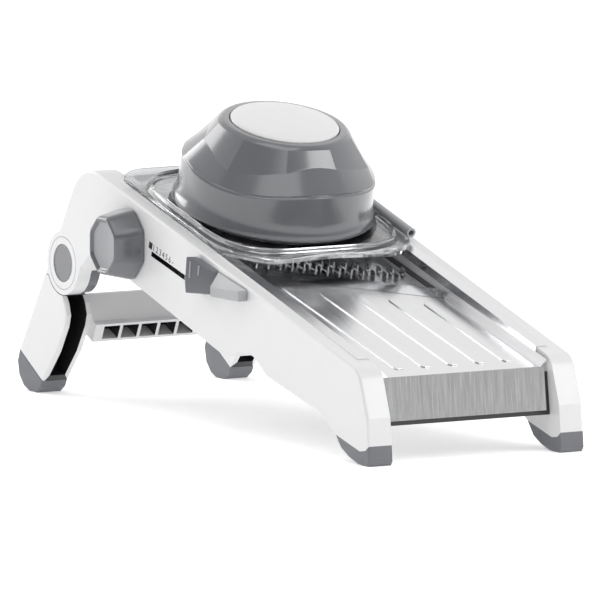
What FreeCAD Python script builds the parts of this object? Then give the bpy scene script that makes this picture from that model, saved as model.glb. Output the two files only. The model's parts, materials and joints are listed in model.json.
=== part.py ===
import FreeCAD, Part
import math
import os
import types

from Sketcher import Constraint
from FreeCAD import Placement, Rotation, Vector

# Mandoline slicer on two sloping side rails with a folding rear stand.
# Millimetres. +X is the right side, +Y the high rear end, +Z up. The model is laid out about
# the mid plane between the rails (X = 0) with Y = 0 near the middle of the rails' length, and every
# piece is then placed so that the origin is the bottom centre of the whole object's box.

doc = FreeCAD.newDocument("mandoline_slicer")

# ------------------------------------------------------------------ driving dimensions
DIMENSIONS = {
    # whole object
    "origin_shift_x": 9.25, "origin_shift_y": -9.0,
    # side rails
    "half_width": 72.5, "shell_depth": 13.4, "wall": 2.4,
    "rail_top_z": 106.0, "rail_rise": 0.272, "rear_corner_radius": 28.0, "nose_radius": 12.0,
    "outer_round": 1.6, "recess_round": 7.0,
    # sloping feed deck
    "deck_front_y": -184.4, "deck_front_z": 49.6, "deck_rise": 0.2524, "deck_half": 51.0,
    "sheet_steel": 0.8, "flange_half": 56.2, "flange_height": 4.2,
    "apron_half": 54.2, "apron_drop": 24.0, "apron_lean": 9.25,
    "bead_pitch": 18.3, "bead_width": 6.6, "bead_height": 0.7, "bead_start": 10.0, "bead_end": 130.0,
    "end_frame_bottom": 21.35, "end_frame_thick": 5.0,
    # blade across the deck
    "blade_line": 161.75, "blade_lean": 0.55, "blade_width": 19.0, "blade_half": 55.5,
    "blade_thick": 0.9, "blade_gap": 1.3, "bed_thick": 2.4, "blade_screw_radius": 2.6,
    # side ledges that carry the deck pieces
    "ledge_inner": 52.6, "rail_inner": 56.9, "ledge_end": 306.0,
    # runway plate above the blade, lowered by the thickness slider
    "runway_half": 52.0, "runway_level": -1.0, "runway_end": 312.0, "runway_drop": 8.0,
    "arm_inner": 49.6, "arm_outer": 51.6, "arm_rear": 262.0, "follower_radius": 2.0,
    "front_follower": 155.0, "rear_follower": 205.0, "follower_level": -8.0,
    # cam bars and thickness slider
    "cam_inner": 53.0, "cam_outer": 55.5, "cam_front": 96.0, "cam_rear": 214.0,
    "cam_bottom": -21.0, "cam_top": -4.0, "cam_slot_half": 2.3, "slider_travel": 40.0,
    "link_rod_station": 99.5, "link_rod_level": -17.0,
    "link_rod_radius": 2.5, "slot_level": -12.0, "slot_half": 1.5,
    "slot_front": 179.0, "slot_rear": 245.0, "neck_half": 1.2, "neck_front": 180.0, "neck_rear": 204.0,
    "grip_proud": 10.5, "grip_gap": 0.4, "grip_rear_y": 0.5, "grip_front_y": -24.6,
    "grip_low_z": 81.5, "grip_rear_top_z": 103.4, "grip_front_top_z": 96.4, "block_front_y": -58.0,
    "block_proud": 6.2, "block_front_top_z": 88.6, "wedge_front": 2.4, "wedge_flat": 6.0,
    # julienne comb and its knob
    "comb_top": -11.2, "comb_bottom": -24.8, "comb_half": 45.0, "comb_width": 22.0,
    "comb_arm": 38.0, "comb_arm_width": 3.0, "comb_arm_top": -21.1, "comb_arm_end": 284.0,
    "tooth_pitch": 7.0, "tooth_top": 2.4, "tooth_length": 5.0, "tooth_thick": 0.8,
    "fine_row": 11.8, "coarse_row": 21.4, "teeth_per_row": 13.0, "tooth_clearance": 0.7,
    "knob_y": 82.8, "knob_z": 101.0, "knob_radius": 21.5, "knob_depth": 17.6, "knob_gap": 0.4,
    "knob_taper": 8.0, "shaft_radius": 4.0, "shaft_clearance": 0.05, "shaft_right": 66.0,
    "cam_small": 5.2, "cam_large": 11.2, "snail_width": 5.0,
    # folding stand
    "hinge_y": 162.5, "hinge_z": 81.0, "boss_radius": 19.0, "boss_gap": 0.5, "ear_radius": 18.4,
    "ear_recess": 18.8, "ear_outer": 63.5, "ear_inner": 57.1, "ear_web": 1.5, "boss_inner": 63.8,
    "pin_radius": 5.0, "cap_radius": 11.2, "cap_recess": 11.4, "cap_depth": 2.0,
    "leg_inner": 55.8, "leg_wall": 3.0,
    "button_radius": 16.0, "button_thick": 3.0, "button_proud": 0.5,
    "cell_pitch": 12.7, "cell_width": 10.7, "cell_count": 8.0,
    # carriage, measured from the rails' top faces
    "carriage_nose": 45.0, "carriage_cheek": 22.0, "carriage_corner": 22.0, "carriage_round": 8.0,
    "plate_low": 0.95, "plate_high": 2.95, "carriage_half": 65.0, "carriage_front": -35.0,
    "carriage_rear": 122.0, "ridge_height": 7.2, "ridge_half": 61.8, "ridge_width": 2.0,
    "cup_radius": 47.5, "cup_wall": 2.0, "cup_top": 24.0, "strip_thick": 0.6, "strip_front": -178.0,
    "strip_rear": 112.0, "strip_outer": 64.0, "tube_radius": 3.0, "tube_x": 65.0, "tube_front": -10.5,
    "tube_rear": 92.0, "tube_bore": 1.7,
    # dome and pusher, measured along the dome's axis from the rails' top faces
    "dome_station": 41.8, "dome_wall": 2.4, "cap_top": 62.4,
    "guide_outer": 9.0, "guide_inner": 6.6, "guide_low": 34.0, "stem_radius": 6.5,
    "stem_top": 45.0, "disc_radius": 43.0, "disc_low": 12.0, "disc_thick": 3.0, "spike_low": 5.0,
    "spike_radius": 1.1, "spike_ring": 15.0, "spring_inner": 7.0, "spring_wire": 1.1,
}


class Size(float):
    """A number from the sheet that remembers the expression it came from."""

    def __new__(cls, value, text):
        size = super().__new__(cls, value)
        size.text = text
        return size

    def __add__(self, other):
        return Size(float(self) + float(other), f"({self.text} + {text_of(other)})")

    def __radd__(self, other):
        return Size(float(other) + float(self), f"({text_of(other)} + {self.text})")

    def __sub__(self, other):
        return Size(float(self) - float(other), f"({self.text} - {text_of(other)})")

    def __rsub__(self, other):
        return Size(float(other) - float(self), f"({text_of(other)} - {self.text})")

    def __mul__(self, other):
        return Size(float(self) * float(other), f"({self.text} * {text_of(other)})")

    __rmul__ = __mul__

    def __truediv__(self, other):
        return Size(float(self) / float(other), f"({self.text} / {text_of(other)})")

    def __neg__(self):
        return Size(-float(self), f"(0 - {self.text})")


def text_of(number):
    return number.text if isinstance(number, Size) else f"{float(number):.6g}"


def sized(number):
    """Any number as a Size."""
    return number if isinstance(number, Size) else Size(number, text_of(number))


def fill_sheet():
    """Put every driving dimension in its own named cell."""
    sheet = doc.addObject("Spreadsheet::Sheet", "dims")
    for row, (name, value) in enumerate(DIMENSIONS.items(), start=1):
        sheet.set(f"A{row}", name)
        sheet.set(f"B{row}", str(value))
        sheet.setAlias(f"B{row}", name)
    doc.recompute()
    cells = {name: Size(float(sheet.get(name)), f"dims.{name}") for name in DIMENSIONS}
    return types.SimpleNamespace(**cells)


dim = fill_sheet()


def bind(feature, path, number):
    """Give a feature's size its sheet expression, or the plain number when it has none."""
    feature.setExpression(path, text_of(number))


# ------------------------------------------------------------------ frames of reference
def frame_at(x, y, z, axis=Vector(1, 0, 0), angle=0.0):
    return Placement(Vector(x, y, z), Rotation(axis, angle))


DECK_ANGLE = math.degrees(math.atan(dim.deck_rise))
RAIL_ANGLE = math.degrees(math.atan(dim.rail_rise))
BLADE_ANGLE = math.degrees(math.atan(dim.blade_lean))

BASE = frame_at(dim.origin_shift_x, dim.origin_shift_y, 0)
# along the deck: X across, Y up the slope from the front bend, Z out of the steel
DECK = BASE.multiply(frame_at(0, dim.deck_front_y, dim.deck_front_z, angle=DECK_ANGLE))
# along the blade's edge: X along the edge to the right, Y up the slope side of the edge
EDGE = DECK.multiply(frame_at(0, dim.blade_line, 0, Vector(0, 0, 1), -BLADE_ANGLE))
# along the rails' top faces, over Y = 0
TRACK = BASE.multiply(frame_at(0, 0, dim.rail_top_z, angle=RAIL_ANGLE))
# about the dome's axis, from the rails' top faces
DOME = TRACK.multiply(frame_at(0, dim.dome_station, 0))
# about the knob's shaft, Z pointing out of the left side
KNOB = BASE.multiply(frame_at(-dim.half_width, dim.knob_y, dim.knob_z, Vector(0, 1, 0), -90))


def on_deck(along, height):
    """Side-view place (Y, Z) of a point given along and above the deck."""
    run = math.hypot(1.0, dim.deck_rise)
    lean = dim.deck_rise / run
    return (dim.deck_front_y + along * (1.0 / run) - height * lean,
            dim.deck_front_z + along * lean + height * (1.0 / run))


def edge_at(x, offset=0.0):
    """Place up the deck of the blade's edge line at a given X."""
    return dim.blade_line - dim.blade_lean * x + offset


# ------------------------------------------------------------------ sketch shapes
def corner_constraint(sketch, geometry, point, u, v):
    for kind, number in (("DistanceX", u), ("DistanceY", v)):
        index = sketch.addConstraint(Constraint(kind, -1, 1, geometry, point, float(number)))
        if isinstance(number, Size):
            sketch.setExpression(f"Constraints[{index}]", number.text)


def polygon(*corners):
    """Closed outline of straight lines through the given corners."""
    def draw(sketch):
        first = sketch.GeometryCount
        points = [Vector(float(u), float(v), 0) for u, v in corners]
        count = len(points)
        for i in range(count):
            sketch.addGeometry(Part.LineSegment(points[i], points[(i + 1) % count]))
        for i in range(count):
            sketch.addConstraint(
                Constraint("Coincident", first + i, 2, first + (i + 1) % count, 1))
        for i, (u, v) in enumerate(corners):
            corner_constraint(sketch, first + i, 1, u, v)
    return draw


def rectangle(u0, u1, v0, v1):
    return polygon((u0, v0), (u1, v0), (u1, v1), (u0, v1))


def circle(u, v, radius):
    def draw(sketch):
        index = sketch.addGeometry(Part.Circle(Vector(float(u), float(v), 0), Vector(0, 0, 1),
                                               float(radius)))
        corner_constraint(sketch, index, 3, u, v)
        size = sketch.addConstraint(Constraint("Radius", index, float(radius)))
        if isinstance(radius, Size):
            sketch.setExpression(f"Constraints[{size}]", radius.text)
    return draw


# ------------------------------------------------------------------ one piece of the slicer
PLANES = {"X": "YZ_Plane", "Y": "XZ_Plane", "Z": "XY_Plane"}
AXES = {"X": "X_Axis", "Y": "Y_Axis", "Z": "Z_Axis"}
pieces = []


class Piece:
    """One named body, built from sketches extruded or turned along its own axes."""

    def __init__(self, label, frame=BASE):
        self.body = doc.addObject("PartDesign::Body", label)
        self.body.Label = label
        self.body.AllowCompound = True
        self.frame = frame
        self.tip = None
        pieces.append(self)

    def origin(self, role):
        return next(f for f in self.body.Origin.OriginFeatures if f.Role == role)

    def sketch(self, axis, level, *shapes):
        sketch = self.body.newObject("Sketcher::SketchObject", "outline")
        sketch.AttachmentSupport = (self.origin(PLANES[axis]), [""])
        sketch.MapMode = "FlatFace"
        bind(sketch, "AttachmentOffset.Base.z", level)
        for draw in shapes:
            draw(sketch)
        return sketch

    def extrude(self, kind, axis, low, high, shapes, start):
        sketch = self.sketch(axis, start, *shapes)
        feature = self.body.newObject(f"PartDesign::{kind}", kind.lower())
        feature.Profile = sketch
        bind(feature, "Length", sized(high) - low)
        self.tip = feature
        doc.recompute()
        return feature

    def add(self, axis, low, high, *shapes):
        """Solid between two levels. The XZ plane looks along -Y, so it starts at its high level."""
        start = -sized(high) if axis == "Y" else low
        self.extrude("Pad", axis, low, high, shapes, start)
        return self

    def cut(self, axis, low, high, *shapes):
        before = self.body.Shape.Volume
        start = -sized(low) if axis == "Y" else high
        self.extrude("Pocket", axis, low, high, shapes, start)
        if not self.body.Shape.Volume < before - 1e-6:
            raise RuntimeError(f"{self.body.Label}: a pocket removed nothing")
        return self

    def turn(self, *shapes, remove=False):
        """Turn a half outline (radius, height) about the piece's own Z axis."""
        sketch = self.sketch("Y", 0.0, *shapes)
        kind = "Groove" if remove else "Revolution"
        feature = self.body.newObject(f"PartDesign::{kind}", kind.lower())
        feature.Profile = sketch
        feature.ReferenceAxis = (sketch, ["V_Axis"])
        feature.Angle = 360.0
        self.tip = feature
        doc.recompute()
        return self

    def repeat(self, axis, pitch, count):
        """Repeat the last feature along one of the piece's axes."""
        source = self.tip
        pattern = self.body.newObject("PartDesign::LinearPattern", "row")
        pattern.Originals = [source]
        pattern.Direction = (self.origin(AXES[axis]), [""])
        bind(pattern, "Length", pitch * (count - 1))
        pattern.Occurrences = int(count)
        self.body.Tip = pattern
        self.tip = pattern
        doc.recompute()
        return self

    def fillet(self, radius, pick, kind="Fillet"):
        """Round or bevel every edge that the pick function accepts."""
        edges = [f"Edge{i}" for i, edge in enumerate(self.tip.Shape.Edges, start=1) if pick(edge)]
        if not edges:
            raise RuntimeError(f"{self.body.Label}: no edge to round")
        feature = self.body.newObject(f"PartDesign::{kind}", kind.lower())
        feature.Base = (self.tip, edges)
        bind(feature, "Radius" if kind == "Fillet" else "Size", radius)
        self.tip = feature
        doc.recompute()
        return self


def along_x_at(*places):
    """Pick edges that run along X through any of the side-view places (Y, Z)."""
    def pick(edge):
        if len(edge.Vertexes) != 2:
            return False
        a, b = (v.Point for v in edge.Vertexes)
        return abs(a.y - b.y) < 1e-3 and abs(a.z - b.z) < 1e-3 and any(
            math.hypot(a.y - y, a.z - z) < 0.05 for y, z in places)
    return pick


def along_z_at(*places):
    """Pick edges that run along Z through any of the plan places (X, Y)."""
    def pick(edge):
        if len(edge.Vertexes) != 2:
            return False
        a, b = (v.Point for v in edge.Vertexes)
        return abs(a.x - b.x) < 1e-3 and abs(a.y - b.y) < 1e-3 and any(
            math.hypot(a.x - x, a.y - y) < 0.05 for x, y in places)
    return pick


def in_plane(axis, level, reach=None):
    """Pick edges that lie wholly in the plane at a level of one axis."""
    def pick(edge):
        box = edge.BoundBox
        low, high = getattr(box, f"{axis}Min"), getattr(box, f"{axis}Max")
        inside = abs(low - level) < 1e-3 and abs(high - level) < 1e-3
        return inside and (reach is None or reach(edge))
    return pick


def mirrored(side, near, far):
    """Low and high X of a slab that lies between two distances from the mid plane."""
    return (near, far) if side > 0 else (-far, -near)


SIDES = {"left": -1, "right": 1}


# ------------------------------------------------------------------ side rails
def rail_top(y):
    return dim.rail_top_z + dim.rail_rise * y


TOE = (-161.0, 15.0)
NOSE_LOW = (-197.5, 28.0)
REAR_CORNER = (139.96, rail_top(139.96))
NOSE_TOP = (-187.5, rail_top(-187.5))
BOWL_REST = [(-80.0, 40.5), (-64.0, 50.5), (-44.0, 50.5), (-33.0, 46.0)]
LEG_NOTCH = [(112.0, 88.3), (131.0, 89.0), (141.5, 80.5), (148.5, 68.2)]
SEAM_REAR = (184.2, 73.2)
RAIL_OUTLINE = [
    TOE, (-152.0, 20.5), (-138.0, 27.0), *BOWL_REST, *LEG_NOTCH, SEAM_REAR, REAR_CORNER, NOSE_TOP,
    NOSE_LOW, (-199.2, 12.0), (-195.5, 9.2), (-189.0, 8.2)]
RAIL_HOLLOW = [
    (-188.0, 14.0), (-164.0, 18.5), (-150.0, 25.0), (-140.0, 30.5), (-84.0, 44.5), (-67.0, 54.5),
    (-42.0, 54.5), (-32.0, 49.8), (110.0, 91.8), (130.0, 92.6), (136.0, 102.0), (135.0, 120.0),
    (119.0, rail_top(119.0) - 3.6), (-180.0, rail_top(-180.0) - 3.6), (-190.0, 36.0)]


def rail_slab(label, side, near, far):
    low, high = mirrored(side, near, far)
    slab = Piece(label)
    slab.add("X", low, high, polygon(*RAIL_OUTLINE))
    slab.fillet(dim.rear_corner_radius, along_x_at(REAR_CORNER))
    slab.fillet(dim.nose_radius, along_x_at(NOSE_TOP))
    slab.fillet(dim.recess_round, along_x_at(*BOWL_REST, *LEG_NOTCH[:3]))
    return slab


def on_top_side(edge):
    """True for the rail's edges along its top, its rear slope and its nose."""
    centre = edge.BoundBox.Center
    return centre.z > rail_top(centre.y) - 12.0 or (centre.y > 150.0 and centre.z > 80.0) or (
        centre.y < -190.0 and centre.z > 14.0)


LEG_RELIEF = [(142.4, 64.0), (152.0, 60.0), (152.0, 79.0), (142.9, 79.0)]


def rail(name, side):
    split = dim.half_width - dim.shell_depth
    shell = rail_slab(f"{name}_rail_shell", side, split, dim.half_width)
    hinge = (dim.hinge_y, dim.hinge_z)
    shell.fillet(dim.outer_round, in_plane("X", float(side * dim.half_width), on_top_side))
    low, high = mirrored(side, dim.boss_inner, dim.half_width)
    shell.add("X", low, high, circle(*hinge, dim.boss_radius))
    shell.cut("X", *mirrored(side, split, dim.half_width - dim.wall), polygon(*RAIL_HOLLOW))
    shell.cut("X", *mirrored(side, split, dim.boss_inner), circle(*hinge, dim.ear_recess))
    shell.cut("X", *mirrored(side, dim.boss_inner, dim.half_width - dim.cap_depth),
              circle(*hinge, dim.pin_radius))
    shell.cut("X", *mirrored(side, dim.half_width - dim.cap_depth, dim.half_width),
              circle(*hinge, dim.cap_recess))
    groove_depth = 0.6
    shell.cut("X", *mirrored(side, dim.half_width - groove_depth, dim.half_width),
              circle(*hinge, dim.boss_radius - 3.0), circle(*hinge, dim.boss_radius - 3.6))
    cover = rail_slab(f"{name}_rail_cover", side, dim.rail_inner, split)
    cover.cut("X", *mirrored(side, dim.rail_inner, split), circle(*hinge, dim.ear_recess))
    bore = circle(dim.knob_y, dim.knob_z, dim.shaft_radius + dim.shaft_clearance)
    cover.cut("X", *mirrored(side, dim.rail_inner, split), bore)
    shell.cut("X", *mirrored(side, split, dim.boss_inner), polygon(*LEG_RELIEF))
    cover.cut("X", *mirrored(side, dim.rail_inner, split), polygon(*LEG_RELIEF))
    if side < 0:
        slot = polygon(on_deck(dim.slot_front, dim.slot_level - dim.slot_half),
                       on_deck(dim.slot_rear, dim.slot_level - dim.slot_half),
                       on_deck(dim.slot_rear, dim.slot_level + dim.slot_half),
                       on_deck(dim.slot_front, dim.slot_level + dim.slot_half))
        shell.cut("X", *mirrored(side, dim.half_width - dim.wall, dim.half_width), bore)
        shell.cut("X", *mirrored(side, dim.half_width - dim.wall, dim.half_width), slot)
        cover.cut("X", *mirrored(side, dim.rail_inner, split), slot)


def front_foot(name, side):
    foot = Piece(f"{name}_front_foot")
    foot.add("X", *mirrored(side, dim.rail_inner, dim.half_width), polygon(
        TOE, (-168.0, 7.0), (-176.0, 3.2), (-186.0, 0.4), (-190.0, 0.0), (-198.0, 0.0), (-200.0, 2.5),
        (-199.2, 12.0), (-195.5, 9.2), (-189.0, 8.2)))
    foot.fillet(1.2, in_plane("X", float(side * dim.half_width),
                              lambda e: e.BoundBox.ZMax < 7.5 or e.BoundBox.YMax < -199.0))


# ------------------------------------------------------------------ folding stand
LEG_OUTLINE = [(184.7, 72.3), (214.9, 24.5), (187.1, 7.9), (170.0, 27.0), (160.0, 43.0), (157.8, 50.0),
               (160.0, 57.0), (163.0, 61.4), (163.0, 69.0), (176.0, 71.4)]
CHANNEL = [(150.0, 61.0), (188.0, 61.0), (208.6, 28.2), (203.0, 22.6), (180.0, 8.6), (150.0, 8.6)]
FOOT_OUTLINE = [(215.0, 24.4), (217.9, 17.0), (216.0, 8.5), (210.5, 2.6), (204.0, 0.0), (195.0, 0.0),
                (189.5, 3.6), (187.2, 7.7)]


def stand_leg(name, side):
    hinge = (dim.hinge_y, dim.hinge_z)
    leg = Piece(f"{name}_stand_leg")
    leg.add("X", *mirrored(side, dim.leg_inner, dim.half_width), polygon(*LEG_OUTLINE))
    leg.fillet(1.4, in_plane("X", float(side * dim.half_width), lambda e: e.BoundBox.ZMin < 61.0
                             and not (e.BoundBox.ZMax < 25.0 and e.BoundBox.YMax > 200.0)))
    clearance = circle(*hinge, dim.boss_radius + dim.boss_gap)
    leg.cut("X", *mirrored(side, dim.ear_outer, dim.half_width), clearance)
    leg.cut("X", *mirrored(side, dim.leg_inner, dim.ear_inner), clearance)
    leg.cut("X", *mirrored(side, dim.leg_inner + dim.leg_wall, dim.half_width - dim.leg_wall),
            polygon(*CHANNEL))
    leg.add("X", *mirrored(side, dim.ear_inner, dim.ear_outer), circle(*hinge, dim.ear_radius))
    leg.cut("X", *mirrored(side, dim.ear_inner, dim.ear_outer - dim.ear_web),
            circle(*hinge, dim.button_radius + 0.4))
    leg.cut("X", *mirrored(side, dim.ear_outer - dim.ear_web, dim.ear_outer),
            circle(*hinge, dim.pin_radius + dim.shaft_clearance))
    foot = Piece(f"{name}_rear_foot")
    foot.add("X", *mirrored(side, dim.leg_inner, dim.half_width), polygon(*FOOT_OUTLINE))
    foot.fillet(1.2, in_plane("X", float(side * dim.half_width), lambda e: e.BoundBox.ZMin < 17.0))


def release_button(name, side):
    """Dished push button that frees the stand's latch, set in the ear of the leg."""
    hinge = (dim.hinge_y, dim.hinge_z)
    face = dim.ear_inner - dim.button_proud
    button = Piece(f"{name}_release_button")
    button.add("X", *mirrored(side, face, face + dim.button_thick), circle(*hinge, dim.button_radius))
    button.cut("X", *mirrored(side, face, face + 1.2), circle(*hinge, dim.button_radius - 3.2))
    latch = Piece(f"{name}_latch_washer")
    latch.add("X", *mirrored(side, dim.ear_outer - dim.ear_web - 0.5, dim.ear_outer - dim.ear_web),
              circle(*hinge, dim.button_radius - 1.0), circle(*hinge, dim.button_radius - 4.0))


def hinge_pins():
    pins = Piece("hinge_pins")
    caps = Piece("hinge_caps")
    hinge = (dim.hinge_y, dim.hinge_z)
    for side in SIDES.values():
        pins.add("X", *mirrored(side, dim.ear_outer - dim.ear_web, dim.half_width - dim.cap_depth),
                 circle(*hinge, dim.pin_radius))
        caps.add("X", *mirrored(side, dim.half_width - dim.cap_depth, dim.half_width - 0.5),
                 circle(*hinge, dim.cap_radius))


CROSSBAR_FACE = ((151.5, 44.3), (156.5, 33.5))
CROSSBAR = [(166.5, 61.4), (163.6, 61.0), (156.0, 46.0), *CROSSBAR_FACE, (170.0, 40.5), (172.0, 50.0)]
CELL = [(149.5, 41.6), (153.1, 33.7), (165.8, 39.6), (162.2, 47.5)]


def stand_crossbar():
    bar = Piece("stand_crossbar")
    bar.add("X", -dim.leg_inner, dim.leg_inner, polygon(*CROSSBAR))
    first = -(dim.cell_pitch * (dim.cell_count - 1) + dim.cell_width) * 0.5
    bar.cut("X", first, first + dim.cell_width, polygon(*CELL))
    bar.repeat("X", dim.cell_pitch, dim.cell_count)


# ------------------------------------------------------------------ fixed deck between the rails
def landing_plate():
    """Pressed steel deck below the blade, with a bent apron, side flanges and raised beads."""
    plate = Piece("landing_plate", DECK)
    near, far = dim.deck_half, -dim.deck_half
    back = -dim.blade_width - 0.6
    plate.add("Z", -dim.sheet_steel, 0.0, polygon(
        (far, 0.0), (near, 0.0), (near, edge_at(near, back)), (far, edge_at(far, back))))
    for side in SIDES.values():
        end = edge_at(side * dim.deck_half, back)
        plate.add("Y", 0.0, end, polygon(
            (side * dim.deck_half, -dim.sheet_steel), (side * dim.flange_half, dim.flange_height - 0.8),
            (side * dim.flange_half, dim.flange_height),
            (side * (dim.flange_half - 0.9), dim.flange_height), (side * dim.deck_half, 0.0)))
    plate.add("X", -dim.apron_half, dim.apron_half, polygon(
        (0.0, 0.0), (-dim.apron_lean, -dim.apron_drop), (dim.sheet_steel - dim.apron_lean,
                                                         -dim.apron_drop - 0.3),
        (dim.sheet_steel, -dim.sheet_steel)))
    half = dim.bead_width / 2.0
    for column in range(-2, 3):
        centre = dim.bead_pitch * column
        end = dim.bead_end - dim.blade_lean * centre
        plate.add("Z", -0.2, dim.bead_height, polygon(
            (centre - half, dim.bead_start + half), (centre - half * 0.5, dim.bead_start + 0.7),
            (centre + half * 0.5, dim.bead_start + 0.7), (centre + half, dim.bead_start + half),
            (centre + half, end - half), (centre + half * 0.5, end - 0.7),
            (centre - half * 0.5, end - 0.7), (centre - half, end - half)))
    plate.fillet(0.5, in_plane("Z", float(dim.bead_height)))


def front_end_frame():
    frame = Piece("front_end_frame")
    top_y, top_z = -183.3, 46.4
    foot_y = -186.6
    depth = dim.end_frame_thick
    frame.add("X", -dim.rail_inner, dim.rail_inner, polygon(
        (top_y, top_z), (foot_y, dim.end_frame_bottom + 2.5), (foot_y, dim.end_frame_bottom),
        (foot_y + depth + 2.0, dim.end_frame_bottom), (top_y + depth, top_z - 1.5)))


def side_ledges():
    for name, side in SIDES.items():
        ledge = Piece(f"{name}_deck_ledge", DECK)
        ledge.add("Z", -dim.bed_thick - dim.sheet_steel, -dim.sheet_steel, rectangle(
            *mirrored(side, dim.ledge_inner, dim.rail_inner), 12.0, dim.ledge_end))


def blade_parts():
    bed = Piece("blade_bed", DECK)
    reach = dim.ledge_inner - 0.05
    near, far = -3.0, -dim.blade_width - 8.0
    bed.add("Z", -dim.bed_thick - dim.sheet_steel, -dim.sheet_steel - 0.1, polygon(
        (-reach, edge_at(-reach, far)), (reach, edge_at(reach, far)),
        (reach, edge_at(reach, near)), (-reach, edge_at(-reach, near))))
    blade = Piece("slicing_blade", DECK)
    half = dim.blade_half
    blade.add("Z", -dim.sheet_steel, dim.blade_thick - dim.sheet_steel, polygon(
        (-half, edge_at(-half, -dim.blade_width)), (half, edge_at(half, -dim.blade_width)),
        (half, edge_at(half)), (-half, edge_at(-half))))
    top = float(dim.blade_thick - dim.sheet_steel)
    blade.fillet(0.7, in_plane("Z", top, lambda e: e.BoundBox.XLength > 60 and e.CenterOfMass.y > 155.0),
                 kind="Chamfer")
    for side in SIDES.values():
        x = side * (dim.blade_half - 2.2)
        blade.cut("Z", -dim.sheet_steel, dim.blade_thick - dim.sheet_steel, circle(
            x, edge_at(x, -dim.blade_width / 2.0), dim.blade_screw_radius * 0.62))
    screws = Piece("blade_screws", DECK)
    for side in SIDES.values():
        x = side * (dim.blade_half - 2.2)
        place = (x, edge_at(x, -dim.blade_width / 2.0))
        screws.add("Z", dim.blade_thick - dim.sheet_steel, 1.5,
                   circle(*place, dim.blade_screw_radius))
        screws.add("Z", -dim.sheet_steel, dim.blade_thick - dim.sheet_steel,
                   circle(*place, dim.blade_screw_radius * 0.6))


def guide_strips():
    """Steel strips folded over the rails' inner top edges, on which the carriage runs."""
    for name, side in SIDES.items():
        strip = Piece(f"{name}_guide_strip", TRACK)
        lip = dim.strip_thick
        strip.add("Y", dim.strip_front, dim.strip_rear, polygon(
            (side * (dim.rail_inner - lip), -4.6), (side * dim.rail_inner, -4.6),
            (side * dim.rail_inner, 0.0), (side * dim.strip_outer, 0.0), (side * dim.strip_outer, lip),
            (side * (dim.rail_inner - lip), lip)))


def rear_panel():
    """Curved closing panel at the high end, also the carrying grip."""
    panel = Piece("rear_panel")
    inner = dim.rail_inner - 0.6
    bend, bend_inside = (137.3, 140.1), (135.6, 135.9)
    panel.add("X", -inner, inner, polygon(
        (116.0, 134.9), bend, (178.0, 76.6), (174.6, 76.0), bend_inside, (116.0, 131.6)))
    panel.fillet(25.0, along_x_at(bend))
    panel.fillet(22.0, along_x_at(bend_inside))
    for side in SIDES.values():
        panel.add("X", *mirrored(side, inner - 0.4, dim.rail_inner), polygon(
            (117.0, 132.2), (121.0, 133.1), (121.0, 135.7), (117.0, 134.8)))


TIE_RODS = [(-118.0, 48.0), (-65.0, 54.0), (112.0, 97.5)]


def tie_rods():
    rods = Piece("tie_rods")
    for place in TIE_RODS:
        rods.add("X", -dim.rail_inner, dim.rail_inner, circle(*place, 3.5))


# ------------------------------------------------------------------ thickness adjustment
def runway():
    plate = Piece("runway_plate", DECK)
    half = dim.runway_half
    thick = dim.sheet_steel + 0.2
    low, high = dim.runway_level - thick, dim.runway_level
    plate.add("Z", low, high, polygon(
        (-half, edge_at(-half, dim.blade_gap)), (half, edge_at(half, dim.blade_gap)),
        (half, dim.runway_end), (-half, dim.runway_end)))
    frame = Piece("runway_frame", DECK)
    back = dim.arm_rear
    for side in SIDES.values():
        arm = mirrored(side, dim.arm_inner, dim.arm_outer)
        front = dim.front_follower - 6.0
        web = edge_at(side * half, 7.0)
        frame.add("X", *arm, polygon(
            (front, -14.0), (back, -14.0), (back, low), (web, low), (web - 3.0, -4.6), (front, -4.6)))
    pins = Piece("follower_pins", DECK)
    for side in SIDES.values():
        for station in (dim.front_follower, dim.rear_follower):
            pins.add("X", *mirrored(side, dim.arm_outer, dim.cam_outer - 0.2),
                     circle(station, dim.follower_level, dim.follower_radius))
    return plate, low, high


def cam_bars():
    for name, side in SIDES.items():
        bar = Piece(f"{name}_cam_bar", DECK)
        bar.add("X", *mirrored(side, dim.cam_inner, dim.cam_outer),
                rectangle(dim.cam_front, dim.cam_rear, dim.cam_bottom, dim.cam_top))
        slope = dim.runway_drop / dim.slider_travel
        for station in (dim.front_follower, dim.rear_follower):
            end = station - dim.slider_travel
            slot = dim.cam_slot_half
            bar.cut("X", *mirrored(side, dim.cam_inner, dim.cam_outer), polygon(
                (station + slot, dim.follower_level - slot + slope * slot),
                (station + slot, dim.follower_level + slot + slope * slot),
                (end - slot, dim.follower_level + slot - dim.runway_drop - slope * slot),
                (end - slot, dim.follower_level - slot - dim.runway_drop - slope * slot)))
    rod = Piece("cam_link_rod", DECK)
    rod.add("X", -dim.cam_inner, dim.cam_inner,
            circle(dim.link_rod_station, dim.link_rod_level, dim.link_rod_radius))


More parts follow.
